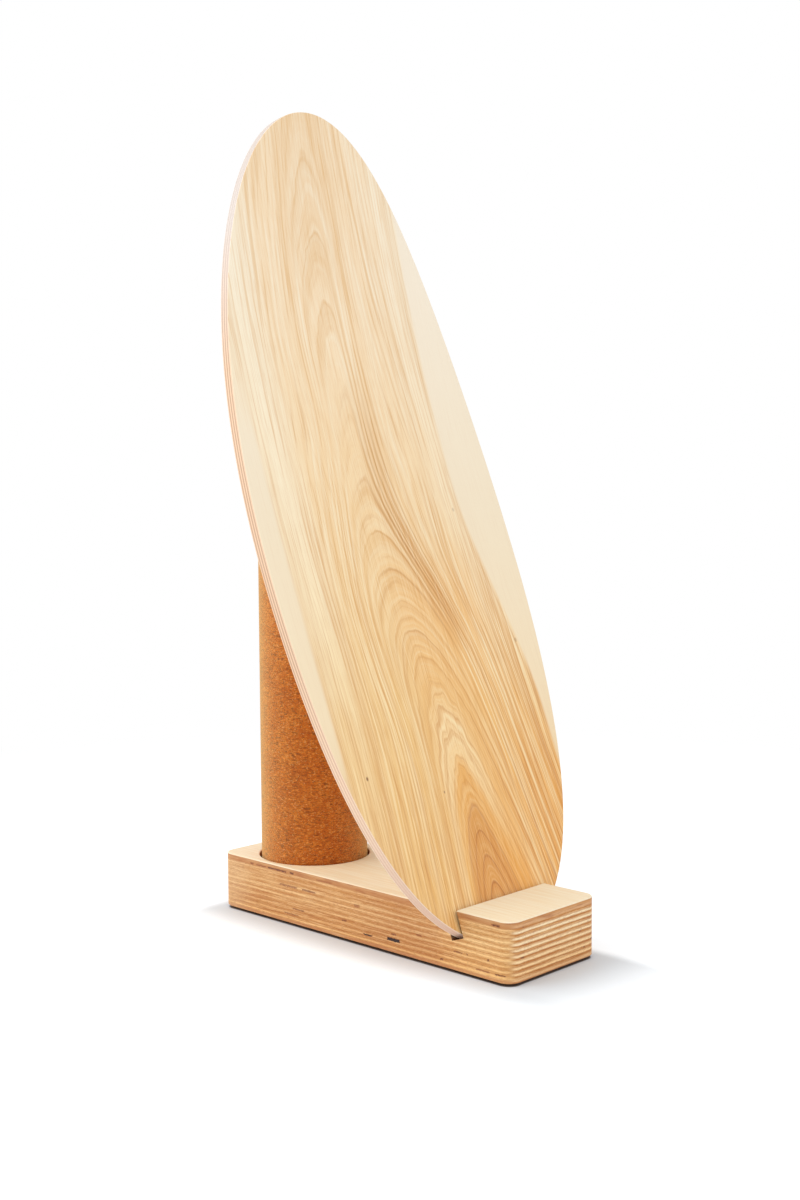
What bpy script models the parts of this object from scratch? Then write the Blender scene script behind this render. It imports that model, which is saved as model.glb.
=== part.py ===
"""Balance roller board on its wooden stand.

A pressed seven-ply board with a raised nose stands with its tail in a slanted
slot of a thick plywood block and leans on the rim of an upright cork roller,
which sits in a round socket of the same block. Metres, Z up, the block's long
side along Y with the slot at its front end (-Y), the origin on the floor under
the middle of the block.
"""

import math

import bpy
from mathutils import Vector

# Stand block
stand_length = 0.355
stand_width = 0.116
stand_height = 0.051
stand_corner_radius = 0.012
stand_edge_ease = 0.0012

# Pads under the block
pad_diameter = 0.020
pad_height = 0.002
pad_inset = 0.009
pad_ease = 0.0004

# Cork roller and its socket
roller_diameter = 0.100
roller_length = 0.470
roller_ease = 0.003
socket_clearance = 0.002
socket_depth = 0.032
socket_to_back = 0.0665
socket_rim_ease = 0.0012

# Slanted slot for the board's tail
slot_to_front = 0.0575
slot_depth = 0.0376
slot_floor_radius = 0.125
slot_ease_angle = math.radians(2.2)
slot_play_front = 0.0014
slot_play_back = 0.0005
slot_rim_ease = 0.0006

# Board
board_length = 0.759
board_mid_width = 0.3124
board_thickness = 0.010
ply_count = 7
nose_rise = 0.045
nose_starts_at = -0.223
nose_power = 2.55

# How the outline differs from a plain ellipse, from tail (-1) to nose (+1)
outline_taper = -0.0668
outline_fullness = 0.0877
outline_taper_cubed = -0.0395
outline_fullness_fourth = 0.0424

# Space left between pieces that touch
fit_gap = 0.0003

# Fineness of the curved surfaces
round_steps = 96
pad_steps = 32
board_stations = 101
corner_steps = 12
ease_steps = 3
slot_stations = 36

stand_bottom = pad_height
stand_top = pad_height + stand_height
stand_front = -stand_length / 2
stand_back = stand_length / 2
roller_radius = roller_diameter / 2
socket_radius = roller_radius + socket_clearance
socket_y = stand_back - socket_to_back
socket_floor = stand_top - socket_depth
roller_bottom = socket_floor + fit_gap
roller_top = roller_bottom + roller_length
slot_y = stand_front + slot_to_front
half_length = board_length / 2


def clear_scene():
    for obj in list(bpy.data.objects):
        bpy.data.objects.remove(obj, do_unlink=True)


def half_width(q):
    """Half the board's width at q, which runs from -1 at the tail to 1 at the nose."""
    swell = 1 + outline_taper * q + outline_fullness * q**2
    swell += outline_taper_cubed * q**3 + outline_fullness_fourth * q**4
    return board_mid_width / 2 * math.sqrt(max(0.0, 1 - q * q)) * swell


def nose_bend(q):
    """How far the face stands forward of the tail's plane at q, and the slope there."""
    part = max(0.0, (q - nose_starts_at) / (1 - nose_starts_at))
    rise = nose_rise * part**nose_power
    steepness = nose_rise * nose_power * part ** (nose_power - 1)
    return rise, steepness / (1 - nose_starts_at) / half_length


def board_point(q, depth):
    """(y, z) on the board's middle line, depth behind its front face, from the tail's tip."""
    rise, slope = nose_bend(q)
    stretch = math.hypot(1, slope)
    y = -rise + depth / stretch
    z = half_length * (1 + q) + depth * slope / stretch
    return y, z


def tail_tip(lean):
    """World (y, z) of the front edge of the tail's tip, for a board leaning back by lean."""
    slant = lean - slot_ease_angle
    along = -slot_depth + fit_gap + board_thickness * math.sin(slot_ease_angle)
    y = slot_y + slot_play_front * math.cos(slant) + along * math.sin(slant)
    z = stand_top - slot_play_front * math.sin(slant) + along * math.cos(slant)
    return y, z


def rim_gap(lean):
    """Distance from the board's back to the roller's eased front rim, negative on overlap."""
    tip_y, tip_z = tail_tip(lean)
    rim_y = socket_y - roller_radius + roller_ease - tip_y
    rim_z = roller_top - roller_ease - tip_z
    here_y = rim_y * math.cos(lean) - rim_z * math.sin(lean)
    here_z = rim_y * math.sin(lean) + rim_z * math.cos(lean)
    nearest = 1.0
    for step in range(401):
        back_y, back_z = board_point(-1 + step / 200, board_thickness)
        nearest = min(nearest, math.hypot(here_y - back_y, here_z - back_z))
    at = min(1.0, here_z / half_length - 1)
    behind = here_y > board_point(at, board_thickness)[0]
    return (nearest if behind else -nearest) - roller_ease


def find_lean():
    """The angle at which the board's back comes to rest on the roller's rim."""
    upright, flat = math.radians(4), math.radians(60)
    for _ in range(40):
        middle = (upright + flat) / 2
        if rim_gap(middle) > fit_gap:
            upright = middle
        else:
            flat = middle
    return (upright + flat) / 2


board_lean = find_lean()
slot_slant = board_lean - slot_ease_angle
slot_width = slot_play_front + board_thickness + slot_play_back
slot_width += slot_depth * math.tan(slot_ease_angle)


def material(name, colour, roughness):
    made = bpy.data.materials.new(name)
    made.use_nodes = True
    shader = made.node_tree.nodes["Principled BSDF"]
    shader.inputs["Base Color"].default_value = (*colour, 1)
    shader.inputs["Roughness"].default_value = roughness
    return made


def add_mesh(name, points, faces, look=None, parent=None, smooth=False):
    mesh = bpy.data.meshes.new(name)
    mesh.from_pydata(points, [], faces)
    mesh.validate()
    if smooth:
        mesh.shade_smooth()
        mesh.set_sharp_from_angle(angle=math.radians(35))
    obj = bpy.data.objects.new(name, mesh)
    bpy.context.scene.collection.objects.link(obj)
    if look:
        mesh.materials.append(look)
    obj.parent = parent
    return obj


def add_empty(name, location, tilt=0.0, parent=None):
    empty = bpy.data.objects.new(name, None)
    bpy.context.scene.collection.objects.link(empty)
    empty.location = location
    empty.rotation_euler = (tilt, 0, 0)
    empty.parent = parent
    return empty


def band_faces(rings, count):
    """Faces between rings of count points each, and a flat face over each end ring."""
    faces = [list(range(count))[::-1]]
    for ring in range(rings - 1):
        low, high = ring * count, (ring + 1) * count
        for i in range(count):
            j = (i + 1) % count
            faces.append([low + i, low + j, high + j, high + i])
    faces.append([(rings - 1) * count + i for i in range(count)])
    return faces


def lathe(name, profile, look=None, parent=None, steps=round_steps):
    """A solid turned about Z from (radius, height) pairs, from its bottom up."""
    points = []
    for radius, height in profile:
        for i in range(steps):
            angle = 2 * math.pi * i / steps
            points.append((radius * math.cos(angle), radius * math.sin(angle), height))
    faces = band_faces(len(profile), steps)
    return add_mesh(name, points, faces, look, parent, smooth=True)


def eased_cylinder(name, radius, height, ease, look, parent=None, steps=round_steps):
    lower = []
    for i in range(ease_steps + 1):
        angle = math.pi / 2 * i / ease_steps
        lower.append((radius - ease * (1 - math.sin(angle)), ease * (1 - math.cos(angle))))
    upper = [(r, height - z) for r, z in reversed(lower)]
    return lathe(name, lower + upper, look, parent, steps)


def rounded_outline(inset):
    """The block's outline seen from above, moved inwards by inset."""
    points = []
    x = stand_width / 2 - stand_corner_radius
    y = stand_length / 2 - stand_corner_radius
    radius = stand_corner_radius - inset
    for turn, (sx, sy) in enumerate(((1, 1), (-1, 1), (-1, -1), (1, -1))):
        for i in range(corner_steps + 1):
            angle = math.pi / 2 * (turn + i / corner_steps)
            points.append((sx * x + radius * math.cos(angle), sy * y + radius * math.sin(angle)))
    return points


def add_cutter(target, cutter):
    cutter.hide_render = True
    cutter.display_type = "WIRE"
    cut = target.modifiers.new(cutter.name, "BOOLEAN")
    cut.operation = "DIFFERENCE"
    cut.solver = "EXACT"
    cut.object = cutter


def add_stand(look):
    """The block, cut for the roller's socket and the board's slot."""
    layers = []
    for i in range(ease_steps + 1):
        angle = math.pi / 2 * i / ease_steps
        inset = stand_edge_ease * (1 - math.sin(angle))
        layers.append((inset, stand_bottom + stand_edge_ease * (1 - math.cos(angle))))
    layers += [(inset, stand_bottom + stand_top - z) for inset, z in reversed(layers)]
    points = []
    for inset, z in layers:
        points += [(x, y, z) for x, y in rounded_outline(inset)]
    count = 4 * (corner_steps + 1)
    block = add_mesh("stand_block", points, band_faces(len(layers), count), look, smooth=True)
    add_cutter(block, add_socket_cutter())
    add_cutter(block, add_slot_cutter())
    return block


def add_socket_cutter():
    profile = [(socket_radius, socket_floor)]
    for i in range(ease_steps + 1):
        angle = math.pi / 2 * i / ease_steps
        radius = socket_radius + socket_rim_ease * (1 - math.cos(angle))
        profile.append((radius, stand_top - socket_rim_ease * (1 - math.sin(angle))))
    profile.append((socket_radius + socket_rim_ease, stand_top + stand_height / 4))
    cutter = lathe("socket_cutter", profile)
    cutter.location = (0, socket_y, 0)
    return cutter


def slot_world(across, along):
    """World (y, z) of a point in the slot: across from its front wall, along up its slant."""
    y = slot_y + across * math.cos(slot_slant) + along * math.sin(slot_slant)
    z = stand_top - across * math.sin(slot_slant) + along * math.cos(slot_slant)
    return y, z


def slot_section(floor):
    """The slot's outline in the YZ plane where its floor lies at floor, rims eased."""
    rise_back = slot_width * math.tan(slot_slant)
    section = [slot_world(0, floor), slot_world(slot_width, floor)]
    back_y = slot_world(slot_width, rise_back)[0]
    section.append(slot_world(slot_width, rise_back - slot_rim_ease))
    section.append((back_y + slot_rim_ease, stand_top))
    section.append((back_y + slot_rim_ease, stand_top + stand_height / 4))
    section.append((slot_y - slot_rim_ease, stand_top + stand_height / 4))
    section.append((slot_y - slot_rim_ease, stand_top))
    section.append(slot_world(0, -slot_rim_ease))
    return section


def add_slot_cutter():
    """A slanted cut whose floor is an arc across the block, deepest in the middle."""
    points = []
    reach = stand_width * 0.55
    for i in range(slot_stations + 1):
        x = reach * (2 * i / slot_stations - 1)
        sag = slot_floor_radius - math.sqrt(slot_floor_radius**2 - x * x)
        points += [(x, y, z) for y, z in slot_section(sag - slot_depth)]
    return add_mesh("slot_cutter", points, band_faces(slot_stations + 1, 8))


def add_ply(name, near, far, look, parent):
    """One bent ply of the board, between two depths behind its front face."""
    points = []
    for i in range(board_stations):
        q = -math.cos(math.pi * i / (board_stations - 1))
        half = half_width(q)
        ends = (0,) if i in (0, board_stations - 1) else (-half, half)
        for depth in (near, far):
            y, z = board_point(q, depth)
            points += [(x, y, z) for x in ends]
    faces = [[0, 3, 2], [1, 4, 5], [2, 4, 1, 0], [0, 1, 5, 3]]
    for i in range(board_stations - 3):
        a = 2 + 4 * i
        b = a + 4
        faces.append([a, b, b + 1, a + 1][::-1])
        faces.append([a + 2, a + 3, b + 3, b + 2][::-1])
        faces.append([a, a + 2, b + 2, b][::-1])
        faces.append([a + 1, b + 1, b + 3, a + 3][::-1])
    last = 2 + 4 * (board_stations - 3)
    tip = last + 4
    faces.append([last, last + 1, tip])
    faces.append([last + 2, tip + 1, last + 3])
    faces.append([last, tip, tip + 1, last + 2])
    faces.append([last + 1, last + 3, tip + 1, tip])
    return add_mesh(name, points, faces, look, parent, smooth=True)


def add_board(face_look, core_look, parent):
    """The pressed plies, front face first."""
    ply = (board_thickness - (ply_count - 1) * fit_gap) / ply_count
    for i in range(ply_count):
        name, look = "board_core_ply_%d" % i, core_look
        if i == 0:
            name, look = "board_face_veneer", face_look
        if i == ply_count - 1:
            name, look = "board_back_veneer", face_look
        near = i * (ply + fit_gap)
        add_ply(name, near, near + ply, look, parent)


def add_pads(look):
    x = stand_width / 2 - pad_inset - pad_diameter / 2
    y = stand_length / 2 - pad_inset - pad_diameter / 2
    for front, sy in (("front", -1), ("back", 1)):
        for side, sx in (("left", -1), ("right", 1)):
            name = "pad_%s_%s" % (front, side)
            height = pad_height - fit_gap
            pad = eased_cylinder(name, pad_diameter / 2, height, pad_ease, look, steps=pad_steps)
            pad.location = (sx * x, sy * y, 0)


def main():
    clear_scene()
    plywood = material("plywood", (0.62, 0.40, 0.20), 0.6)
    ash = material("ash_veneer", (0.70, 0.48, 0.26), 0.5)
    core = material("core_veneer", (0.66, 0.50, 0.38), 0.65)
    cork = material("cork", (0.42, 0.20, 0.09), 0.85)
    rubber = material("pad_rubber", (0.02, 0.02, 0.02), 0.8)

    add_stand(plywood)
    add_pads(rubber)
    roller_axis = add_empty("roller_axis", Vector((0, socket_y, roller_bottom)))
    eased_cylinder("cork_roller", roller_radius, roller_length, roller_ease, cork, roller_axis)
    tip_y, tip_z = tail_tip(board_lean)
    board_seat = add_empty("board_seat", Vector((0, tip_y, tip_z)), -board_lean)
    add_board(ash, core, board_seat)
    print("board leans %.3f deg, slot %.3f deg" % (math.degrees(board_lean), math.degrees(slot_slant)))


main()
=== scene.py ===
# %% [markdown]
# # A balance roller board on its stand
#
# A seven-ply board with a raised nose stands in the slot of a thick plywood block and leans on
# an upright cork roller. The CAD model gives every size; this lesson adds the finished
# surfaces, the light and the camera. It starts by loading the model as a fixed frame.

# %% Load the CAD model
import math

import bpy
from mathutils import Matrix, Vector


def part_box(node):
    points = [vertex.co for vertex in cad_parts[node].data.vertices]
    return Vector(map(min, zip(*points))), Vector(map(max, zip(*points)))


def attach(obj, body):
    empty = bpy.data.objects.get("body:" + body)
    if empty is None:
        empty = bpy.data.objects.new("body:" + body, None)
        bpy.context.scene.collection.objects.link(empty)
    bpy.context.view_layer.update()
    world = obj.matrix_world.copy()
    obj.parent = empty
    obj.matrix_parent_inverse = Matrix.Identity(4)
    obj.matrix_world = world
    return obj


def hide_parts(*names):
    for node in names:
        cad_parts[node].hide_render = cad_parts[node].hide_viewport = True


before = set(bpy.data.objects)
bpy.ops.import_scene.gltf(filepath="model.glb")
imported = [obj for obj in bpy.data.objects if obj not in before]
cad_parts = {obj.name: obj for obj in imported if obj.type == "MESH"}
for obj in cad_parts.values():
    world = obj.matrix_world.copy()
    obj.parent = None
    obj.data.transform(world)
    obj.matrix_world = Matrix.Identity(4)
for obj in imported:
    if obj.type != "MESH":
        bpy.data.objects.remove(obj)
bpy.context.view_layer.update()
print("CAD pieces:", ", ".join(sorted(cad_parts)))

# %% [markdown]
# ## Values shared by the pieces
#
# The board is drawn by the same formulas as the CAD model: an egg-shaped outline, and a nose
# that bends forward more and more towards its tip. A point on it is named by how far along it
# lies, from -1 at the tail to 1 at the nose, and how deep behind the face. The stand, roller
# and pads are measured from their CAD boxes instead, so they can't drift from it.

# %% Board formulas
HALF_LENGTH = 0.759 / 2
HALF_MID_WIDTH = 0.3124 / 2
BOARD_THICKNESS = 0.010
PLY_COUNT = 7
NOSE_RISE = 0.045
NOSE_STARTS_AT = -0.223
NOSE_POWER = 2.55
LEAN = math.radians(21.7176)
TAIL_TIP = Vector((0, -0.131014, 0.017737))
MM = 0.001


def half_width(q):
    """Half the board's width at q, -1 at the tail and 1 at the nose."""
    swell = 1 - 0.0668 * q + 0.0877 * q**2 - 0.0395 * q**3 + 0.0424 * q**4
    return HALF_MID_WIDTH * math.sqrt(max(0.0, 1 - q * q)) * swell


def board_point(across, q, depth):
    """A point of the board in the frame: across, at q along it, depth behind its face."""
    part = max(0.0, (q - NOSE_STARTS_AT) / (1 - NOSE_STARTS_AT))
    slope = NOSE_RISE * NOSE_POWER * part ** (NOSE_POWER - 1)
    slope /= (1 - NOSE_STARTS_AT) * HALF_LENGTH
    stretch = math.hypot(1, slope)
    out = -NOSE_RISE * part**NOSE_POWER + depth / stretch
    up = HALF_LENGTH * (1 + q) + depth * slope / stretch
    turned = Vector((across, out, up))
    return TAIL_TIP + Matrix.Rotation(-LEAN, 3, "X") @ turned


nose = board_point(0, 1, 0)
print("nose tip in mm:", [round(1000 * c, 1) for c in nose])

# %% [markdown]
# ## Wires: shader maths written as Python
#
# A Blender material is a net of nodes. Placing nodes by hand hides the idea, so one small
# class wraps a socket and lets `1 - mask` or `2 * wave` add the Math nodes. Any other node
# comes from its `node` method, which takes the node's settings and then its sockets.

# %% The Wire class
class Wire:
    """An output socket of a material that Python's operators can calculate with."""

    def __init__(self, tree, socket=None):
        self.tree = tree
        self.socket = socket

    def node(self, kind, settings=(), sockets=(), output=0):
        made = self.tree.nodes.new(kind)
        for name, value in dict(settings).items():
            if name == "stops":
                place_stops(made.color_ramp, value)
            else:
                setattr(made, name, value)
        for name, value in dict(sockets).items():
            if isinstance(value, Wire):
                self.tree.links.new(value.socket, made.inputs[name])
            else:
                made.inputs[name].default_value = value
        return Wire(self.tree, made.outputs[output])

    def math(self, operation, *values):
        return self.node("ShaderNodeMath", {"operation": operation}, dict(enumerate(values)))

    def __add__(self, other):
        return self.math("ADD", self, other)

    def __sub__(self, other):
        return self.math("SUBTRACT", self, other)

    def __rsub__(self, other):
        return self.math("SUBTRACT", other, self)

    def __mul__(self, other):
        return self.math("MULTIPLY", self, other)

    def __truediv__(self, other):
        return self.math("DIVIDE", self, other)

    def __pow__(self, other):
        return self.math("POWER", self, other)

    __radd__ = __add__
    __rmul__ = __mul__

    def ramp_up(self, low, high):
        """0 below low, 1 above high, smooth between; with low above high it falls instead."""
        sockets = {"Value": self, "From Min": low, "From Max": high}
        return self.node("ShaderNodeMapRange", {"interpolation_type": "SMOOTHSTEP"}, sockets)


def place_stops(ramp, stops):
    """Sets a colour ramp's stops from (place, colour) pairs."""
    while len(ramp.elements) < len(stops):
        ramp.elements.new(1.0)
    for element, (place, tint) in zip(ramp.elements, stops):
        element.position = place
        element.color = tint


def rgb(red, green, blue):
    """A colour as seen on screen, 0 to 255, in the linear values that a shader takes."""
    linear = [((c / 255 + 0.055) / 1.055) ** 2.4 for c in (red, green, blue)]
    return (*linear, 1.0)


print("shader maths ready")

# %% [markdown]
# ## Starting and closing a material
#
# Every finish here starts from the point's place on its own piece in millimetres. Object
# coordinates turn with the piece, so a pattern stays put when the board is lifted out. Each
# finish ends in a Principled shader, with a little relief from a Bump node.

# %% Start and finish
def start_finish(name):
    """A new material: its name, a Wire to build from, and x, y, z in millimetres."""
    material = bpy.data.materials.new(name)
    material.use_nodes = True
    material.node_tree.nodes.clear()
    paint = Wire(material.node_tree)
    place = paint.node("ShaderNodeTexCoord", output="Object")
    axes = [place.node("ShaderNodeSeparateXYZ", {}, {0: place}, i) * 1000 for i in range(3)]
    return material, paint, axes


def close_finish(paint, tint, roughness, relief, depth, settings=()):
    """Ends a material in a Principled shader; relief is a height in millimetres."""
    bump = paint.node(
        "ShaderNodeBump", {}, {"Height": relief, "Strength": 1.0, "Distance": depth * MM}
    )
    sockets = {"Base Color": tint, "Roughness": roughness, "Normal": bump, **dict(settings)}
    shader = paint.node("ShaderNodeBsdfPrincipled", {}, sockets)
    paint.node_end = paint.tree.nodes.new("ShaderNodeOutputMaterial")
    paint.tree.links.new(shader.socket, paint.node_end.inputs["Surface"])


def point(x, y, z):
    """Three wires or numbers as one vector."""
    wire = next(w for w in (x, y, z) if isinstance(w, Wire))
    return wire.node("ShaderNodeCombineXYZ", {}, {0: x, 1: y, 2: z})


def noise(vector, scale, detail=2.0, roughness=0.5, bend=0.0):
    """Smooth noise around 0.5, with scale features per unit."""
    sockets = {"Vector": vector, "Scale": scale, "Detail": detail}
    sockets |= {"Roughness": roughness, "Distortion": bend}
    return vector.node("ShaderNodeTexNoise", {}, sockets)


def chance(number):
    """A random value from 0 to 1 for each whole number."""
    return number.node("ShaderNodeTexWhiteNoise", {"noise_dimensions": "1D"}, {"W": number})


def mix(share, first, second, way="MIX"):
    """First colour at share 0, second at share 1."""
    settings = {"data_type": "RGBA", "blend_type": way}
    return share.node("ShaderNodeMix", settings, {0: share, 6: first, 7: second}, 2)


def facing(paint):
    """The size of the surface normal's x, y and z, in the piece's own axes."""
    normal = paint.node("ShaderNodeTexCoord", output="Normal")
    split = [normal.node("ShaderNodeSeparateXYZ", {}, {0: normal}, i) for i in range(3)]
    return split


# %% [markdown]
# ## The board's face: flat-sawn veneer
#
# The face is a leaf sliced near the middle of a log. The slice cuts the log's cone-shaped
# growth rings, so the rings show as arches down the middle and as nearly straight lines at
# the sides. An image could be painted on, but it would repeat and blur. Instead the ring
# number is worked out for each point, as the distance from the log's middle line plus the
# climb of the cone, and the colours follow from that one number.

# %% Board coordinates
def board_axes(axes):
    """Across, along and through the board in millimetres."""
    x, y, z = axes
    ahead = y - TAIL_TIP.y * 1000
    above = z - TAIL_TIP.z * 1000
    along = ahead * math.sin(LEAN) + above * math.cos(LEAN)
    through = ahead * math.cos(LEAN) - above * math.sin(LEAN)
    return x, along, through


# %% A colour that changes along the board
def along_board(along, stops):
    """From (place, colour) pairs; place is 0 at the tail and 1 at the nose."""
    linear = [(place, rgb(*tint)) for place, tint in stops]
    return along.node("ShaderNodeValToRGB", {"stops": linear}, {0: along / 759})


# the cut edge of a ply whose grain runs along the board, and of one whose grain runs across;
# along the board the tints are painted paler at the tail, where shade falls on the edge, and
# darker higher up, where more light falls: painted light and shade
EDGE_PLACES = (0.0, 0.2, 0.35, 0.68, 0.86)
LONG_TINTS = [(255, 228, 205), (250, 220, 190), (240, 206, 172), (238, 203, 168), (223, 212, 204)]
CROSS_TINTS = [(248, 208, 182), (232, 192, 162), (206, 166, 136), (198, 158, 128), (210, 198, 189)]
LONG_EDGE_AND_PAINTED_LIGHT = list(zip(EDGE_PLACES, LONG_TINTS))
CROSS_EDGE_AND_PAINTED_LIGHT = list(zip(EDGE_PLACES, CROSS_TINTS))


# %% A curve read from a few heights
def curve(place, step, heights):
    """A smooth curve over place, from heights given every step from 0 on."""
    low, rise = min(heights), max(heights) - min(heights)
    last = len(heights) - 1
    stops = [(i / last, (*[(h - low) / rise] * 3, 1.0)) for i, h in enumerate(heights)]
    share = place / (step * last)
    read = share.node("ShaderNodeValToRGB", {"stops": stops}, {0: share})
    read.socket.node.color_ramp.interpolation = "B_SPLINE"
    return read * rise + low


# %% Growth rings of a flat-sawn leaf
RING_WIDTH = 3.4
FIGURE_STEP = 95
# a value every 95 mm from the tail: mm, rings, or rings per mm
FACE_FIGURE = {
    "middle": [-1, -1, 1, -14, -22, -14, -20, -14, -14],
    "climb": [-1.9, 2.5, 6.8, 11.0, 14.1, 15.3, 16.2, 17.8, 19.1],
    "left": [20, 26, 36, 42, 26, 25, 30, 32, 28],
    "right": [60, 59, 53, 49, 10, 6, 15, 20, 14],
    "slant": [0.16, 0.15, 0.13, 0.06, 0.05, 0.045, 0.05, 0.05, 0.05],
    "blunt": [10, 10, 10, 26, 28, 10, 12, 8, 8],
}
# how dark the late line of each ring is where it crosses the middle, from ring 0 on
LINE_DARKNESS = [0.9, 0.45, 0.85, 0.45, 0.15, 0.3, 0.25, 0.5, 0.1, 0.45, 0.9, 0.05, 0.9, 0.7, 0.6, 0.2, 0.45, 0.5]


def growth_rings(across, along, figure, seed):
    """At each point of a flat-sawn leaf: the ring number, rings per mm, distance from the middle
    and from the flank's edge."""
    slow = noise(point(across * 0.008, along * 0.004, seed), 1.0, 1.0)
    quick = noise(point(across * 0.06, along * 0.012, seed + 7), 1.0, 2.0)

    def row(name):
        return curve(along, FIGURE_STEP, figure[name])

    middle, climb, left, right = row("middle"), row("climb"), row("left"), row("right")
    offset = across - middle + (slow - 0.5) * 8 + (quick - 0.5) * 2
    away = offset.math("ABSOLUTE", offset)
    edge = left + (right - left) * offset.ramp_up(-6, 6)
    blunt, slant = row("blunt"), row("slant")
    inside = away.math("SMOOTH_MIN", away, edge, 12)
    spread = inside * inside + blunt * blunt
    arch = (spread.math("SQRT", spread) - blunt) * slant
    flank = (away - edge).math("SMOOTH_MAX", away - edge, 0, 12) / RING_WIDTH
    # beyond the legs of the arches the lines spread out until they run nearly straight
    beyond = (offset - right) / 80
    stray_right = (middle + right - 22) / RING_WIDTH * beyond.ramp_up(0, 1)
    stray_left = (left - middle - 50) / RING_WIDTH - (climb - 9) * 0.75
    straight = stray_right + stray_left * across.ramp_up(-50, -112)
    ripple = noise(point(across * 0.11, along * 0.05, seed + 3), 1.0, 1.0) - 0.5
    ripple = ripple * away.ramp_up(45, 12) * along.ramp_up(70, 140)
    ripple = ripple * (0.2 + along.ramp_up(270, 200) * 0.7)
    steep = (away - edge).ramp_up(-16, 10)
    per_mm = slant * 0.6 + 0.02 + steep / RING_WIDTH
    return climb + arch + flank + straight + ripple, per_mm, offset, away - edge


def ring_line(rings, per_mm, half_width):
    """1 on the dark late line of each ring, 0 beyond half_width mm from it."""
    apart = (rings.math("FRACT", rings) - 0.5).math("ABSOLUTE", rings.math("FRACT", rings) - 0.5)
    return (apart / per_mm).ramp_up(half_width, half_width * 0.15)


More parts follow.
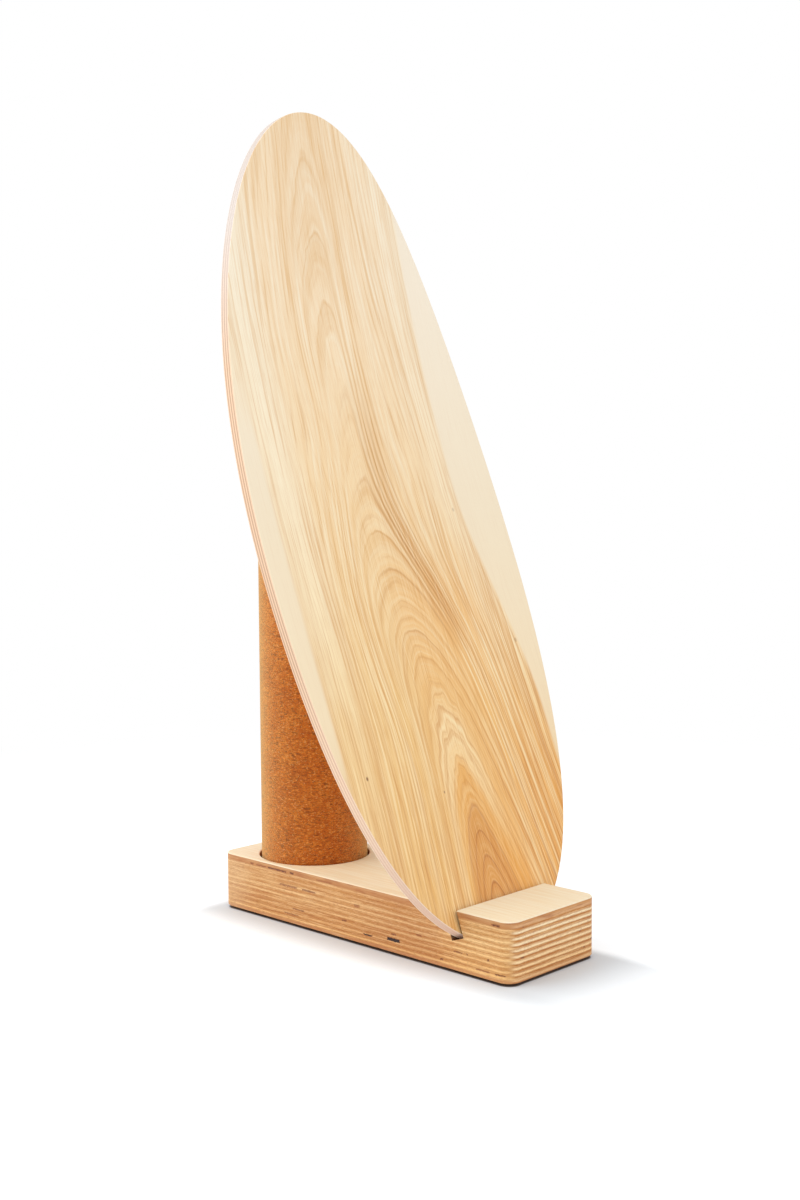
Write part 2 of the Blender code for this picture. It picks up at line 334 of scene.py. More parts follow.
# %% Face veneer
def face_veneer():
    material, paint, axes = start_finish("face_veneer_oiled")
    across, along, _ = board_axes(axes)
    rings, per_mm, offset, beyond = growth_rings(across, along, FACE_FIGURE, 3.0)
    steep = beyond.ramp_up(-16, 10)
    number = rings.math("FLOOR", rings)
    core = offset.math("ABSOLUTE", offset)
    groups = noise(point(rings * 0.13, along * 0.0015, 1.5), 1.0, 2.0, 0.6)

    def along_leaf(*tints):
        return along_board(along, zip((0.10, 0.27, 0.52, 0.8), tints))

    ground = along_leaf((234, 182, 106), (240, 196, 128), (247, 213, 162), (249, 221, 182))
    brown = along_leaf((188, 108, 28), (198, 124, 36), (208, 144, 62), (220, 166, 90))
    cream = along_leaf((253, 224, 170), (255, 232, 184), (255, 240, 208), (255, 245, 222))
    # sapwood edges, where the lines fade into plain cream
    sap_edge = 93 + 36 * along.ramp_up(420, 190) + (groups - 0.5) * 4
    sap = (across - sap_edge).ramp_up(-1, 4)
    left_sap = (across + 133 + (groups - 0.5) * 5).ramp_up(3, -3)
    sap = sap.math("MAXIMUM", sap, left_sap * along.ramp_up(120, 180) * along.ramp_up(520, 440))
    # the leaf is paler towards its sides, and amber in the lower middle
    pale_side = across.ramp_up(-75, -115) * (0.25 + along.ramp_up(140, 300) * 0.5)
    wood = mix(pale_side, ground, cream)
    wood = mix(across.ramp_up(60, 100) * along.ramp_up(180, 300) * 0.5, wood, cream)
    wood = mix(across.ramp_up(20, 80) * along.ramp_up(300, 420) * 0.25, wood, cream)
    low_right = across.ramp_up(60, 120) * along.ramp_up(280, 160)
    amber = across.ramp_up(-45, -5) * (across.ramp_up(150, 70) + low_right) * along.ramp_up(380, 280)
    wood = mix(amber * (0.38 + along.ramp_up(200, 60) * 0.3), wood, rgb(240, 168, 70))
    nose_middle = core.ramp_up(50, 15) * along.ramp_up(560, 640)
    wood = mix(nose_middle * 0.2, wood, brown)
    # whole groups of rings are darker or paler, less so in the upper half
    top = along.ramp_up(380, 480)
    wood = mix(groups.ramp_up(0.5, 0.75) * (0.3 - top * 0.12), wood, brown)
    wood = mix(groups.ramp_up(0.5, 0.25) * 0.2, wood, cream)
    heart = rings.ramp_up(4.4, 3.0) * core.ramp_up(45, 20)
    wood = mix(heart * 0.36, wood, brown)
    band = rings.ramp_up(5.0, 5.8) * rings.ramp_up(8.6, 6.8) * core.ramp_up(45, 20)
    wood = mix(band * 0.5, wood, cream)
    # the right-hand legs of the middle arches are the darkest, the left-hand ones faint
    middle_part = along.ramp_up(235, 300) * along.ramp_up(560, 440)
    leg = beyond.ramp_up(-12, 0) * offset.ramp_up(0, 8) * beyond.ramp_up(34, 14) * middle_part
    wood = mix(leg * 0.22, wood, brown)
    calm = (1 - sap * 0.75) * (1 - across.ramp_up(-80, -125) * 0.2)
    calm = calm * (1 - across.ramp_up(40, 75) * along.ramp_up(280, 380) * 0.2)
    rich = across.ramp_up(10, 50) * along.ramp_up(340, 240)
    crisp = calm * (0.2 + steep * 0.8) * (1 + rich * 0.5)
    streak = noise(point(rings * 0.5, along * 0.003, 2.2), 1.0, 2.0, 0.6)
    wood = mix(streak.ramp_up(0.5, 0.75) * crisp * (0.16 - top * 0.08), wood, brown)
    wood = mix(streak.ramp_up(0.5, 0.25) * crisp * (0.16 - top * 0.08), wood, cream)
    fine = noise(point(rings * 1.9, along * 0.005, 5.2), 1.0, 3.0, 0.8)
    medium = noise(point(rings * 1.1, along * 0.004, 8.3), 1.0, 2.0, 0.7)
    fine = fine + (medium - fine) * rich.math("MAXIMUM", rich, top)
    wood = mix((fine - top * 0.035).ramp_up(0.54, 0.6) * crisp * (0.4 + leg * 0.2), wood, brown)
    wood = mix(fine.ramp_up(0.46, 0.4) * crisp * (0.55 - leg * 0.1 - top * 0.25 - low_right * 0.25), wood, cream)
    # thin layers inside the wide rings of the arches
    layers = noise(point(rings * 4.0, across * 0.01, 7.7), 1.0, 2.0, 0.6)
    arches = calm * (1 - steep)
    wood = mix(layers.ramp_up(0.5, 0.72) * arches * 0.32, wood, brown)
    wood = mix(layers.ramp_up(0.5, 0.3) * arches * 0.25, wood, cream)
    # each ring ends in a dark late line, which is sharp on its outer side
    patchy = noise(point(rings * 0.4, along * 0.012, 9.0), 1.0, 2.0).ramp_up(0.3, 0.7)
    crossing = curve(rings - 0.5, 1, LINE_DARKNESS)
    faint = middle_part * offset.ramp_up(4, -14) * 0.65
    strength = (chance(number) * patchy * 0.6 + leg * 0.4) * steep + crossing * (1 - steep) * 0.8
    strength = strength * calm * (1 - faint)
    wide = chance(number + 0.3) * 0.7 + 0.7
    late = ring_line(rings, per_mm, wide)
    before = (rings + 0.5).math("FRACT", rings + 0.5).ramp_up(0.5, 1.0)
    wood = mix(before * strength * (0.38 - steep * 0.2 + leg * 0.2), wood, brown)
    wood = mix(late * strength * 0.85, wood, brown)
    wood = mix(late * strength * heart * 0.6, wood, rgb(172, 98, 36))
    wood = mix(late * strength * leg * 0.25, wood, rgb(150, 94, 50))
    early = ring_line(rings + 0.4, per_mm, 1.6)
    early = early * chance(number + 0.5) * patchy * calm * (1 - leg * 0.7) * (1 - heart)
    wood = mix(early * (0.2 + steep * 0.4 + band * 0.6), wood, cream)
    # a golden and a cream line follow the sapwood's edge
    inner = across - sap_edge
    golden = (inner + 2.5).ramp_up(-2, 0) * (inner + 2.5).ramp_up(2, 0)
    wood = mix(golden * calm * patchy * 0.45, wood, brown)
    pale = (inner + 6.5).ramp_up(-1.6, 0) * (inner + 6.5).ramp_up(1.6, 0)
    wood = mix(pale * patchy * 0.4, wood, cream)
    sap_tint = along_leaf((243, 212, 162), (247, 226, 190), (246, 229, 200), (250, 236, 214))
    wood = mix(sap * 0.9, wood, sap_tint)
    # fine fibres along the leaf
    fibre = noise(point(across * 0.9, along * 0.018, 0.0), 1.0, 3.0, 0.7)
    hair = noise(point(across * 3.4, along * 0.06, 4.0), 1.0, 2.0)
    wood = mix(fibre.ramp_up(0.5, 0.68) * calm * 0.3, wood, brown)
    wood = mix(fibre.ramp_up(0.5, 0.32) * calm * 0.3, wood, cream)
    lined = mix(hair.ramp_up(0.52, 0.75) * calm * 0.2, wood, brown)
    # small knots: across, along, radius and darkness
    knots = [(-113, 157.5, 1.1, 0.85), (-29.5, 133.5, 0.8, 0.6)]
    knots += [(87, 386.5, 1.2, 0.3), (120.5, 256.5, 1.4, 0.35)]
    for knot_x, knot_v, size, dark in knots:
        dx, dv = across - knot_x, (along - knot_v) * 0.7
        apart = dx * dx + dv * dv
        spot = apart.math("SQRT", apart).ramp_up(size * 1.6, size * 0.4)
        lined = mix(spot * dark, lined, rgb(120, 70, 36))
    # the leaf's own edge, where the board's outline is cut, is end or side wood
    normal = facing(paint)
    front = normal[1] * -math.cos(LEAN) + normal[2] * math.sin(LEAN)
    # the edge tint carries painted light and shade along the board
    lined = mix(front.ramp_up(0.75, 0.35), lined, along_board(along, LONG_EDGE_AND_PAINTED_LIGHT))
    close_finish(paint, lined, 0.46 + fibre * 0.12, fibre * 0.5 + hair * 0.5, 0.05)
    return material


# %% [markdown]
# ## The board's back and its core plies
#
# Pressed boards turn the grain of each ply by a right angle. On the board's edge this gives
# stripes: a ply cut along its fibres looks pale, one cut across them looks darker, because
# the open fibre ends swallow light. The same rule, computed from the way the surface faces,
# gives the right stripe on every side without painting it.

# %% Back veneer
def back_veneer():
    material, paint, axes = start_finish("back_veneer_oiled")
    across, along, _ = board_axes(axes)
    rings, per_mm, offset, beyond = growth_rings(across - 26, 759 - along, FACE_FIGURE, 11.0)
    part = rings.math("FRACT", rings)
    strong = chance(rings.math("FLOOR", rings)) ** 1.5
    groups = noise(point(rings * 0.2, along * 0.002, 8.5), 1.0, 2.0, 0.6)
    lined = mix(groups.ramp_up(0.3, 0.75), rgb(244, 218, 176), rgb(226, 184, 130))
    lined = mix((part**2 * 0.3 + part**8 * 0.6) * strong, lined, rgb(190, 132, 80))
    fibre = noise(point(across * 1.6, along * 0.045, 2.0), 1.0, 3.0, 0.6)
    lined = mix(fibre.ramp_up(0.55, 0.8) * 0.3, lined, rgb(206, 156, 98))
    normal = facing(paint)
    rear = normal[1] * math.cos(LEAN) - normal[2] * math.sin(LEAN)
    # the edge tint carries painted light and shade along the board
    lined = mix(rear.ramp_up(0.75, 0.35), lined, along_board(along, LONG_EDGE_AND_PAINTED_LIGHT))
    close_finish(paint, lined, 0.48 + fibre * 0.12, fibre, 0.05)
    return material


# %% Core plies
def core_veneer(name, grain_along):
    """A core ply whose grain runs along the board, or across it."""
    material, paint, axes = start_finish(name)
    across, along, through = board_axes(axes)
    normal = facing(paint)
    lengthwise = normal[1] * math.sin(LEAN) + normal[2] * math.cos(LEAN)
    end = lengthwise if grain_along else normal[0]
    end = end.math("ABSOLUTE", end).ramp_up(0.25, 0.85)
    speck = noise(point(across * 0.9, along * 0.9, through * 3.0), 1.0, 3.0, 0.6)
    # the edge tints carry painted light and shade along the board
    tint = mix(end, along_board(along, LONG_EDGE_AND_PAINTED_LIGHT), along_board(along, CROSS_EDGE_AND_PAINTED_LIGHT))
    tint = mix(speck.ramp_up(0.45, 0.7) * 0.3, tint, rgb(204, 160, 126))
    close_finish(paint, tint, 0.6 + speck * 0.1, speck, 0.08)
    return material


# %% [markdown]
# ## The stand: thick plywood
#
# The block is sawn from plywood about 5 cm thick, glued from plies of 2.5 mm. A ply cut along
# its fibres is pale; the next one, cut across them, is darker. On the long sides the plies swap
# roles with those on the ends, so the stripes jump by one ply round each corner. A cream leaf
# covers the top. Core plies have gaps and bark pockets, which show as short dark dashes.

# %% Plywood stripes
PLY_PAIR = 4.93
PALE_PLY_AT = 43.57
# how pale the wood is down one pair of plies, in eighths of the pair
PALE_ON_ENDS = [1.35, 0.9, -0.05, -0.2, 0.1, 0.3, 0.5, 1.05, 1.35]
PALE_ON_SIDES = [0.05, 0.2, 0.25, 0.5, 1.3, 0.5, 0.25, 0.2, 0.05]


def stand_plywood(axes, normal):
    """The wood between the leaves, and 1 where it faces sideways."""
    x, y, z = axes
    sideways = normal[0].math("ABSOLUTE", normal[0]).ramp_up(0.3, 0.85)
    wave = noise(point(x * 0.012, y * 0.012, z * 0.02), 1.0, 2.0)
    rough = noise(point(x * 0.12, y * 0.12, z * 0.5), 1.0, 2.0)
    down = (PALE_PLY_AT - z - (wave - 0.5) * 0.9 - (rough - 0.5) * 0.9) / PLY_PAIR + 20
    within = down.math("FRACT", down)
    own_end = chance((down + 0.5).math("FLOOR", down + 0.5))
    own_side = chance(down.math("FLOOR", down) + 0.5)
    on_end = curve(within, 1 / 8, PALE_ON_ENDS) * (0.85 + own_end * 0.25)
    on_side = curve(within, 1 / 8, PALE_ON_SIDES) * (0.45 + own_side * 0.75)
    # towards the back the plies of the sides are rougher, and the stripes blur in places
    blurred = noise(point(x * 0.02, y * 0.02, z * 0.12 + 5), 1.0, 2.0).ramp_up(0.65, 0.35)
    blurred = blurred * y.ramp_up(-40, 60)
    on_side = on_side * (1 - blurred * 0.5) + blurred * 0.15
    # in front of the slot the side is golden, and its stripes are crisper
    before_slot = y.ramp_up(-100, -135)
    on_side = on_side * (1 + before_slot * 0.5)
    # thick and thin fibres, drawn out along the plies
    streak = noise(point(x * 0.03, y * 0.03, z * 1.1), 1.0, 3.0, 0.65)
    fleck = noise(point(x * 0.3, y * 0.3, z * 3.0), 1.0, 3.0, 0.65)
    height = z.ramp_up(0, 46)
    end_pale = mix(height, rgb(252, 208, 146), rgb(255, 232, 190))
    end_dark = mix(height, rgb(188, 116, 46), rgb(198, 128, 54))
    side_pale = mix(height, rgb(240, 186, 116), rgb(250, 211, 152))
    side_dark = mix(height, rgb(180, 110, 44), rgb(196, 130, 60))
    wood = mix(sideways, mix(on_end, end_dark, end_pale), mix(on_side, side_dark, side_pale))
    # red-brown streaks in the plies that are cut across
    red = streak.ramp_up(0.5, 0.68) * (1 - on_end - (on_side - on_end) * sideways)
    wood = mix(red * 0.65, wood, rgb(166, 88, 36))
    wood = mix(streak.ramp_up(0.48, 0.34) * 0.5, wood, rgb(244, 204, 148))
    wood = mix(sideways * before_slot * 0.14, wood, rgb(255, 204, 124))
    wood = mix(sideways * y.ramp_up(-108, -95) * y.ramp_up(20, -40) * 0.18, wood, rgb(166, 96, 48))
    wood = mix(sideways * y.ramp_up(125, 165) * 0.25, wood, rgb(240, 208, 164))
    wood = mix(fleck.ramp_up(0.52, 0.68) * 0.55, wood, rgb(152, 86, 40))
    wood = mix(fleck.ramp_up(0.46, 0.28) * 0.3, wood, rgb(250, 218, 172))
    return wood, sideways, fleck


# %% Gaps in the plies of the left side
# start and end from the back of the block, height, half height, darkness
SIDE_GAPS = [
    (218, 233, 13.3, 1.2, 1.2),
    (40, 45, 48.6, 0.7, 0.6),
    (49, 62, 48.4, 0.6, 0.5),
    (65, 90, 48.6, 0.7, 0.7),
    (95, 100, 48.7, 0.8, 0.8),
    (130, 150, 48.6, 0.6, 0.25),
    (336, 344, 48.6, 0.8, 0.7),
    (81, 104, 36.2, 0.7, 0.5),
    (111, 129, 36.2, 0.7, 0.6),
    (99, 114, 16.4, 0.5, 0.6),
    (87, 106, 10.8, 0.6, 0.4),
    (189, 200, 11.4, 0.5, 0.8),
    (163, 168, 18.4, 0.6, 0.7),
    (223, 229, 18.4, 0.7, 0.6),
    (252, 259, 23.5, 0.7, 0.5),
    (178, 185, 34.5, 1.2, 0.35),
    (295, 304, 18.4, 0.5, 0.6),
    (308, 310, 18.4, 0.8, 0.7),
    (331, 333, 18.6, 0.8, 0.7),
    (280, 283, 8.6, 0.8, 0.7),
    (319, 333, 8.5, 0.5, 0.5),
    (339, 349, 8.6, 0.5, 0.7),
]


def side_gaps(axes):
    """How dark each point of the left side is for the gaps."""
    x, y, z = axes
    ragged = noise(point(x * 0.6, y * 0.6, z * 0.6), 1.0, 2.0) - 0.5
    from_back = 177.5 - y + ragged * 4
    gaps = None
    for start, end, level, half, dark in SIDE_GAPS:
        away = from_back - (start + end) / 2
        reach = away.math("ABSOLUTE", away).ramp_up((end - start) / 2 + 1, (end - start) / 2 - 1)
        apart = z - level + ragged * 1.8
        gap = reach * apart.math("ABSOLUTE", apart).ramp_up(half * 1.5, half * 0.8) * dark
        gaps = gap if gaps is None else gaps.math("MAXIMUM", gaps, gap)
    return gaps * (1.0 + ragged * 1.2)


# %% Finish of the stand
def stand_finish():
    material, paint, axes = start_finish("stand_plywood_sanded")
    x, y, z = axes
    normal = facing(paint)
    wood, sideways, fleck = stand_plywood(axes, normal)
    # the ply under the top leaf is red-brown all round, the lowest one rosy
    under = z.ramp_up(46.4, 48.0)
    wood = mix(under * 0.75, wood, mix(sideways, rgb(208, 146, 88), rgb(190, 128, 76)))
    band = noise(point(x * 0.05, y * 0.05, z * 0.5), 1.0, 3.0)
    wood = mix(under * band.ramp_up(0.45, 0.7) * 0.6, wood, rgb(168, 98, 52))
    wood = mix(z.ramp_up(6.5, 4.0) * 0.4, wood, rgb(198, 134, 92))
    gaps = side_gaps(axes) * normal[0].ramp_up(-0.5, -0.9)
    # elsewhere the gaps are strewn
    row = (z / PLY_PAIR).math("FLOOR", z / PLY_PAIR)
    dash = noise(point(x * 0.07, y * 0.07, row * 3.7), 1.0, 1.0).ramp_up(0.68, 0.72)
    within = (z / PLY_PAIR).math("FRACT", z / PLY_PAIR)
    strewn = dash * within.ramp_up(0.3, 0.45) * within.ramp_up(0.7, 0.55)
    strewn = strewn * normal[0].ramp_up(-0.9, -0.5) * z.ramp_up(50, 47)
    gaps = gaps.math("MAXIMUM", gaps, strewn * 0.7)
    wood = mix(gaps.ramp_up(0, 0.5) * 0.7, wood, rgb(138, 72, 36))
    wood = mix(gaps.ramp_up(0.45, 1.0), wood, rgb(40, 18, 10))
    # the walls and the floor of the slot are painted dark: painted shade where the slot lies in shadow
    painted_slot_shade = y.ramp_up(-172, -168) * y.ramp_up(-85, -90) * z.ramp_up(3, 5) * z.ramp_up(52, 50)
    wood = mix(painted_slot_shade * (1 - sideways) * 0.8, wood, rgb(104, 58, 28))
    # the leaf on top, cream, wrapping over the eased edge
    leaf_grain = noise(point(x * 0.35, y * 0.012, 0.0), 1.0, 3.0, 0.55)
    leaf = mix(leaf_grain.ramp_up(0.35, 0.7), rgb(247, 234, 206), rgb(242, 222, 185))
    wood = mix(z.ramp_up(51.9, 52.3), wood, leaf)
    close_finish(paint, wood, 0.58 + fleck * 0.12, fleck - gaps * 3, 0.06)
    return material


# %% [markdown]
# ## The roller: pressed cork
#
# Agglomerated cork is ground bark, pressed and glued. Up close it is a mosaic of angular
# granules in many browns, with dark bark specks, pale flecks and tiny open seams. Voronoi
# cells are just such a mosaic; two sizes are laid over each other, and each cell draws its
# own brown from a ramp.

# %% Cork
def cork_granules():
    material, paint, axes = start_finish("cork_pressed")
    x, y, z = axes
    # the granules are pressed a little flatter than they are wide
    here = point(x, y, z * 1.5)
    jitter = here.node("ShaderNodeTexNoise", {}, {"Vector": here, "Scale": 0.6, "Detail": 2.0}, 1)
    pushed = here.node("ShaderNodeVectorMath", {"operation": "SCALE"}, {0: jitter, "Scale": 1.6})
    spot = here.node("ShaderNodeVectorMath", {"operation": "ADD"}, {0: here, 1: pushed})

    def cells(scale, feature, output):
        return spot.node(
            "ShaderNodeTexVoronoi", {"feature": feature}, {"Vector": spot, "Scale": scale}, output
        )

    def own_value(scale, channel=0):
        tint = cells(scale, "F1", "Color")
        return tint.node("ShaderNodeSeparateColor", {}, {0: tint}, channel)

    coarse, small = own_value(0.42), own_value(1.1)
    cloud = noise(here, 0.035, 3.0, 0.55)
    shade = coarse * 0.35 + small * 0.25 + cloud * 0.5 - 0.05
    tint = shade.node(
        "ShaderNodeValToRGB",
        {
            "stops": [
                (0.12, rgb(160, 68, 5)),
                (0.35, rgb(188, 86, 10)),
                (0.6, rgb(206, 108, 22)),
                (0.9, rgb(232, 150, 66)),
            ]
        },
        {0: shade},
    )
    tint = mix(small.ramp_up(0.9, 0.96) * 0.6, tint, rgb(110, 48, 10))
    # bark flecks, pressed into short flat dashes
    fleck = noise(point(x * 0.26, y * 0.26, z * 0.8), 1.0, 3.0, 0.75)
    tint = mix(fleck.ramp_up(0.56, 0.64) * 0.35, tint, rgb(126, 50, 4))
    tint = mix(fleck.ramp_up(0.46, 0.36) * 0.42, tint, rgb(250, 166, 76))
    dash = noise(point(x * 0.17, y * 0.17, z * 0.62), 1.0, 2.0, 0.7)
    tint = mix(dash.ramp_up(0.58, 0.64) * 0.75, tint, rgb(116, 44, 3))
    pale = own_value(0.8, 1)
    tint = mix(pale.ramp_up(0.92, 0.96) * 0.35, tint, rgb(244, 188, 120))
    seam = cells(0.42, "DISTANCE_TO_EDGE", 0).ramp_up(0.08, 0.0)
    tint = mix(seam * 0.45, tint, rgb(110, 54, 20))
    relief = coarse * 0.5 + small * 0.3 - seam
    sheen = {"Sheen Weight": 1.0, "Sheen Roughness": 0.54, "Sheen Tint": rgb(255, 226, 160)}
    sheen |= {"Specular IOR Level": 0.15}
    close_finish(paint, tint, 0.82 + small * 0.1, relief, 0.12, sheen)
    return material


# %% [markdown]
# ## The pads: rubber
#
# Four small rubber discs keep the block 2 mm off the floor. The thin dark line under it is the
# shadow in that gap, deepened by a painted shadow on the floor under the block's edge. They are
# black, matt and slightly dusty.

# %% Rubber
def pad_rubber():
    material, paint, axes = start_finish("pad_rubber_black")
    grain = noise(point(*axes), 2.2, 3.0, 0.6)
    tint = mix(grain.ramp_up(0.35, 0.75), rgb(22, 21, 22), rgb(46, 44, 44))
    close_finish(paint, tint, 0.72 + grain * 0.15, grain, 0.05)
    return material


# %% Make the finishes
finishes = {
    "face_veneer": face_veneer(),
    "back_veneer": back_veneer(),
    "long_veneer": core_veneer("core_ply_long_grain", True),
    "cross_veneer": core_veneer("core_ply_cross_grain", False),
    "plywood": stand_finish(),
    "cork": cork_granules(),
    "pad_rubber": pad_rubber(),
}
for slot_name, material in finishes.items():
    print(slot_name, "has", len(material.node_tree.nodes), "nodes")

# %% [markdown]
# ## Pieces finer than the CAD solids
#
# The CAD plies lie 0.3 mm apart so that no two solids touch. On the real board they are glued
# into one bar with a smooth edge. So each ply is built again here, a little thicker, with many
# more stations along the outline, and the outer two have a softened arris. Each piece hides
# the CAD solid it stands for, and rides on that solid's body.

# %% Helpers for new pieces
def add_piece(name, points, faces, node, body, slot_name, flat_over=35):
    """A mesh piece that stands for a CAD node and rides on its body."""
    mesh = bpy.data.meshes.new(name)
    mesh.from_pydata(points, [], faces)
    mesh.validate()
    piece = bpy.data.objects.new(name, mesh)
    bpy.context.scene.collection.objects.link(piece)
    mesh.materials.append(finishes[slot_name])
    mesh.shade_smooth()
    mesh.set_sharp_from_angle(angle=math.radians(flat_over))
    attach(piece, body)
    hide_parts(node)
    return piece


def outline_ring(inset, steps):
    """The board's outline in (across, q), drawn in by inset, from the tail round the right."""
    ring = []
    for i in range(2 * steps):
        turn = math.pi * i / steps
        q = -math.cos(turn)
        side = 1 if i <= steps else -1
        ring.append((side * half_width(q), q))
    drawn = []
    for i, (x, q) in enumerate(ring):
        before, after = ring[i - 1], ring[(i + 1) % len(ring)]
        tangent = Vector((after[0] - before[0], (after[1] - before[1]) * HALF_LENGTH)).normalized()
        drawn.append((x - tangent.y * inset, q + tangent.x * inset / HALF_LENGTH))
    return drawn


OUTLINE_STEPS = 150
SEAM = 0.00002
ARRIS = 0.0009


def ply_profile(index):
    """(inset, depth) steps down the edge of one ply, from its front skin to its back skin."""
    thick = (BOARD_THICKNESS - (PLY_COUNT - 1) * SEAM) / PLY_COUNT
    front = index * (thick + SEAM)
    back = front + thick
    steps = [(0.0, front), (0.0, back)]
    rounding = [
        (ARRIS * (1 - math.sin(a)), ARRIS * (1 - math.cos(a)))
        for a in (math.radians(15 * k) for k in range(7))
    ]
    if index == 0:
        steps = rounding + [(0.0, back)]
    if index == PLY_COUNT - 1:
        steps = [(0.0, front)] + [(i, BOARD_THICKNESS - d) for i, d in reversed(rounding)]
    return steps


def add_ply(index, name, node, slot_name):
    profile = ply_profile(index)
    points, faces = [], []
    count = 2 * OUTLINE_STEPS
    for inset, depth in profile:
        points += [board_point(x, q, depth) for x, q in outline_ring(inset, OUTLINE_STEPS)]
    for level in range(len(profile) - 1):
        for i in range(count):
            j = (i + 1) % count
            low, high = level * count, (level + 1) * count
            faces.append((low + i, high + i, high + j, low + j))
    last = (len(profile) - 1) * count
    for i in range(OUTLINE_STEPS):
        right, next_right = i, i + 1
        left, next_left = -i % count, (-i - 1) % count
        front = [right, next_right, next_left, left]
        corners = list(dict.fromkeys(front))
        faces.append(tuple(corners))
        faces.append(tuple(last + c for c in reversed(corners)))
    return add_piece(name, points, faces, node, "board", slot_name)


# %% The seven plies
plies = [("veneer_sheet_face", "board_face_veneer", "face_veneer")]
for number in range(1, 6):
    kind = "cross_veneer" if number % 2 else "long_veneer"
    plies.append((f"core_sheet_{number}", f"board_core_ply_{number}", kind))
plies.append(("veneer_sheet_back", "board_back_veneer", "back_veneer"))
for index, (name, node, slot_name) in enumerate(plies):
    piece = add_ply(index, name, node, slot_name)
    print(name, len(piece.data.polygons), "faces")

# %% [markdown]
# ## Roller and pads on the lathe
#
# Both are turned shapes. A profile, given as (radius, height) pairs, is spun about its axis.
# The roller's ends are eased by 3 mm, as a ground cork roller's are.

# %% Turned pieces
def turn_on_lathe(name, node, body, slot_name, profile, steps):
    """Spins a profile from the bottom's middle to the top's middle about the node's axis."""
    low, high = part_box(node)
    middle = (low + high) / 2
    points = [Vector((middle.x, middle.y, low.z)), Vector((middle.x, middle.y, high.z))]
    for radius, height in profile:
        for i in range(steps):
            angle = 2 * math.pi * i / steps
            swing = Vector((radius * math.cos(angle), radius * math.sin(angle), 0))
            points.append(Vector((middle.x, middle.y, low.z + height)) + swing)
    faces = []
    for i in range(steps):
        j = (i + 1) % steps
        for level in range(len(profile) - 1):
            a, b = 2 + level * steps, 2 + (level + 1) * steps
            faces.append((a + i, a + j, b + j, b + i))
        last = 2 + (len(profile) - 1) * steps
        faces.append((0, 2 + j, 2 + i))
        faces.append((1, last + i, last + j))
    return add_piece(name, points, faces, node, body, slot_name)


def eased_profile(node, ease, corner_steps):
    """A cylinder's profile with rounded ends, as tall and wide as the node."""
    low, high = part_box(node)
    radius, height = (high.x - low.x) / 2, high.z - low.z
    arc = [math.pi / 2 * k / corner_steps for k in range(corner_steps + 1)]
    bottom = [(radius - ease * (1 - math.sin(a)), ease * (1 - math.cos(a))) for a in arc]
    top = [(r, height - h) for r, h in reversed(bottom)]
    return bottom + top


roller = turn_on_lathe(
    "cork_roller_ground", "cork_roller", "roller", "cork", eased_profile("cork_roller", 0.003, 6), 192
)
print(roller.name, len(roller.data.polygons), "faces")
for corner in ("front_left", "front_right", "back_left", "back_right"):
    node = "pad_" + corner
    pad = turn_on_lathe(
        "rubber_" + node, node, "stand", "pad_rubber", eased_profile(node, 0.0004, 4), 48
    )
    print(pad.name, len(pad.data.polygons), "faces")

# %% [markdown]
# ## The block, sanded
#
# The CAD block already has its rounded corners, eased edges, socket and slanted slot, cut
# with Booleans. Cutting it again would add nothing. Its points are only welded, and its
# shading is smoothed so that the flat faces stay flat and the eased edges roll over softly:
# that is what the Weighted Normal modifier is for.

# %% Weld and smooth the block
def weld(points, faces, within=1e-6):
    """Merges points that share a place, and drops faces that collapse."""
    seen, index, kept = {}, [], []
    for p in points:
        key = tuple(round(c / within) for c in p)
        if key not in seen:
            seen[key] = len(kept)
            kept.append(Vector(p))
        index.append(seen[key])
    mended = [tuple(index[i] for i in face) for face in faces]
    return kept, [face for face in mended if len(set(face)) == len(face)]


cad_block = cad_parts["stand_block"].data
block_points, block_faces = weld(
    [v.co for v in cad_block.vertices], [tuple(p.vertices) for p in cad_block.polygons]
)
block = add_piece(
    "plywood_block_sanded", block_points, block_faces, "stand_block", "stand", "plywood", 40
)
soften = block.modifiers.new("flat faces stay flat", "WEIGHTED_NORMAL")
soften.keep_sharp = True
print(block.name, len(block_points), "points,", len(block_faces), "faces")

# %% [markdown]
# ## Floor, light and camera
#
# A plain pale floor carries the shadow. For the camera alone it glows a little, so that it
# reads as white where no shadow falls, while the light on the object stays at a plain level.
# Round the block the glow is left out, which paints a soft grey shadow there, and under the
# block's edge the floor is painted dark, a painted shadow for the thin dark line.
# One large soft lamp stands high at the left, and a weak one at the right.

# %% Floor
def beyond(place, limit):
    """How far place lies past limit, 0 before it."""
    return (place - limit).math("MAXIMUM", place - limit, 0.0)


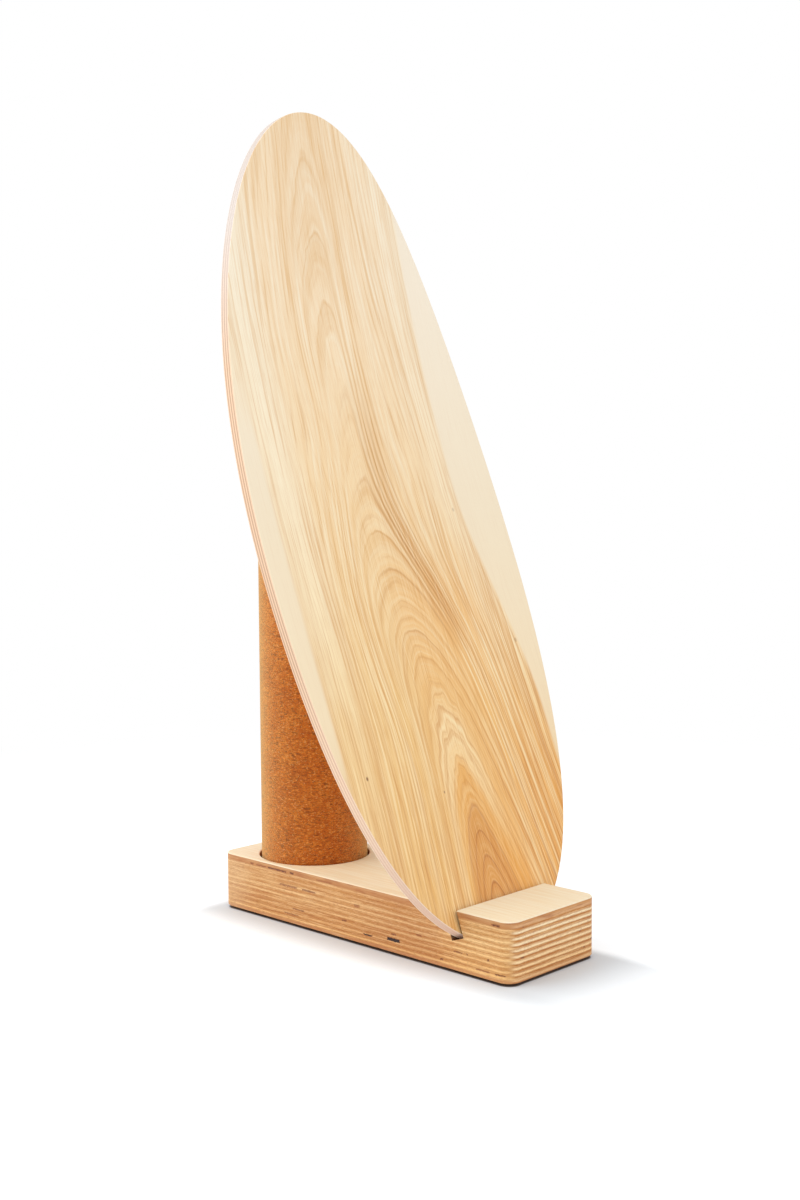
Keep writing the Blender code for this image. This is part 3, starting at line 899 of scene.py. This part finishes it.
def stage_floor():
    mesh = bpy.data.meshes.new("floor")
    reach = 12.0
    corners = [(-reach, -reach, 0), (reach, -reach, 0), (reach, reach, 0), (-reach, reach, 0)]
    mesh.from_pydata([(x, y, -0.0003) for x, y, _ in corners], [], [(0, 1, 2, 3)])
    floor = bpy.data.objects.new("floor", mesh)
    bpy.context.scene.collection.objects.link(floor)
    material = bpy.data.materials.new("floor_white_painted_shadow")
    material.use_nodes = True
    material.node_tree.nodes.clear()
    paint = Wire(material.node_tree)
    place = paint.node("ShaderNodeTexCoord", output="Object")
    far = place.node("ShaderNodeVectorMath", {"operation": "LENGTH"}, {0: place}, 1)
    base = paint.node("ShaderNodeBsdfDiffuse", {}, {"Color": (0.71, 0.75, 0.79, 1)})
    seen = paint.node("ShaderNodeLightPath", output="Is Camera Ray")
    gloss = paint.node("ShaderNodeLightPath", output="Is Glossy Ray")
    either = seen.math("MAXIMUM", seen, gloss)
    x, y = [place.node("ShaderNodeSeparateXYZ", {}, {0: place}, i) for i in (0, 1)]
    low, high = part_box("stand_block")
    # round the block the glow is left out, furthest in front and least at the right and back: a painted shadow on
    # the floor
    dx = beyond(x, high.x) * 2.5 + beyond(0 - x, -low.x)
    dy = beyond(y, high.y) * 2.5 + beyond(0 - y, -low.y) * 0.5
    gap = dx * dx + dy * dy
    glow_outside_painted_shadow = gap.math("SQRT", gap).ramp_up(0.002, 0.048)
    glow = paint.node("ShaderNodeEmission", {}, {"Strength": either * glow_outside_painted_shadow * 0.38})
    # under the block's edge the floor is painted dark for the camera: a painted shadow for the thin dark line
    dark = paint.node("ShaderNodeBsdfDiffuse", {}, {"Color": (0.15, 0.13, 0.115, 1)})
    corner = 0.012
    in_x = beyond(x, high.x - corner) + beyond(0 - x, -low.x - corner)
    in_y = beyond(y, high.y - corner) + beyond(0 - y, -low.y - corner)
    painted_shadow_gap = in_x * in_x + in_y * in_y
    under = seen * painted_shadow_gap.math("SQRT", painted_shadow_gap).ramp_up(corner, corner - 0.002)
    ground = paint.node("ShaderNodeMixShader", {}, {0: under, 1: base, 2: dark})
    near = paint.node("ShaderNodeAddShader", {}, {0: ground, 1: glow})
    plain = paint.node("ShaderNodeEmission", {}, {"Strength": 1.0})
    both = paint.node("ShaderNodeMixShader", {}, {0: far.ramp_up(0.5, 1.1) * either, 1: near, 2: plain})
    end = paint.tree.nodes.new("ShaderNodeOutputMaterial")
    paint.tree.links.new(both.socket, end.inputs["Surface"])
    mesh.materials.append(material)
    return floor


stage_floor()

# %% World and lamps
world = bpy.data.worlds.new("studio")
bpy.context.scene.world = world
world.use_nodes = True
world.node_tree.nodes.clear()
sky = Wire(world.node_tree)
direct = sky.node("ShaderNodeLightPath", output="Is Camera Ray")
mirror = sky.node("ShaderNodeLightPath", output="Is Glossy Ray")
through_glass = sky.node("ShaderNodeLightPath", output="Is Transmission Ray")
shown = direct.math("MAXIMUM", direct, mirror.math("MAXIMUM", mirror, through_glass))
room = sky.node("ShaderNodeBackground", {}, {"Color": (1, 1, 1, 1), "Strength": 0.85})
white = sky.node("ShaderNodeBackground", {}, {"Color": (1, 1, 1, 1), "Strength": 1.0})
blend = sky.node("ShaderNodeMixShader", {}, {0: shown, 1: room, 2: white})
world_end = world.node_tree.nodes.new("ShaderNodeOutputWorld")
world.node_tree.links.new(blend.socket, world_end.inputs["Surface"])


def add_lamp(name, place, size, power):
    """A square soft lamp that looks at the middle of the object."""
    light = bpy.data.lights.new(name, "AREA")
    light.shape = "SQUARE"
    light.size = size
    light.energy = power
    lamp = bpy.data.objects.new(name, light)
    bpy.context.scene.collection.objects.link(lamp)
    lamp.location = place
    aim = Vector((0, 0, 0.3)) - lamp.location
    lamp.rotation_euler = aim.to_track_quat("-Z", "Y").to_euler()
    return lamp


add_lamp("left", (-1.7, 1.0, 1.8), 1.4, 20)
add_lamp("front", (-0.4, -2.4, 1.5), 1.6, 12)
add_lamp("rim", (-1.1, 2.3, 0.9), 0.7, 14)

# %% [markdown]
# ## Camera
#
# The camera's place, tilt and lens were found by fitting the CAD model's edges to the
# photograph, so that the render can be laid over it.

# %% Place the camera
lens = bpy.data.cameras.new("camera")
camera = bpy.data.objects.new("camera", lens)
bpy.context.scene.collection.objects.link(camera)
lens.sensor_fit = "VERTICAL"
lens.sensor_height = 36.0
lens.lens = 1550.317 / 1200 * 36.0
turn = Matrix.Rotation(-0.80928, 4, "Z") @ Matrix.Rotation(math.pi / 2 - 0.08142, 4, "X")
turn = turn @ Matrix.Rotation(-0.00574, 4, "Z")
camera.matrix_world = Matrix.Translation((-0.99228, -0.94877, 0.41087)) @ turn
bpy.context.scene.camera = camera
bpy.context.scene.view_settings.view_transform = "Standard"
print("lens in mm:", round(lens.lens, 2))
